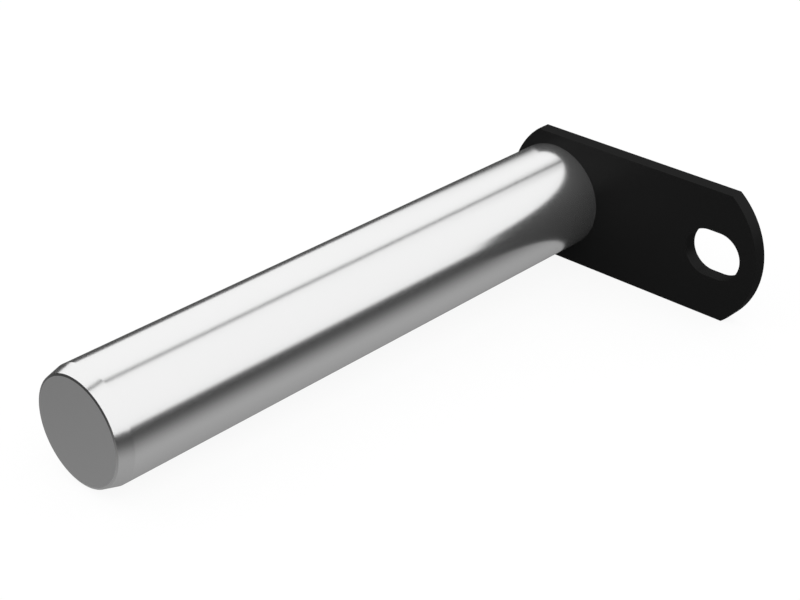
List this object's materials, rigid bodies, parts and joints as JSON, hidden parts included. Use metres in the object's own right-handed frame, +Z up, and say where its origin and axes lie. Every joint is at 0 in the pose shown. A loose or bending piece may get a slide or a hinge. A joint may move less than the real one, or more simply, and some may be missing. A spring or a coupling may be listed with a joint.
{
  "type": "linkage pin",
  "caption": "Steel linkage pin with a tapered lead-in end and a welded black flag plate, whose slotted hole takes a retaining bolt that stops the pin turning or sliding out.",
  "frame": {"origin": "on the pin's axis, in the plane of the flag plate's front face that the pin's shoulder seats on", "axes": "-Y along the pin's axis towards its free end, +X along the flag plate towards the slot, +Z up across the plate's width"},
  "size_m": [0.1225, 0.2581, 0.055],
  "materials": {
    "ground_steel": "ground and polished bright steel, with a duller faced end",
    "black_paint": "satin black paint on flat steel plate",
    "painted_weld": "satin black paint over a rippled weld bead"
  },
  "bodies": {
    "root": {"pin": "ground_steel", "flag_plate": "black_paint", "weld_bead": "painted_weld"}
  },
  "joints": []
}
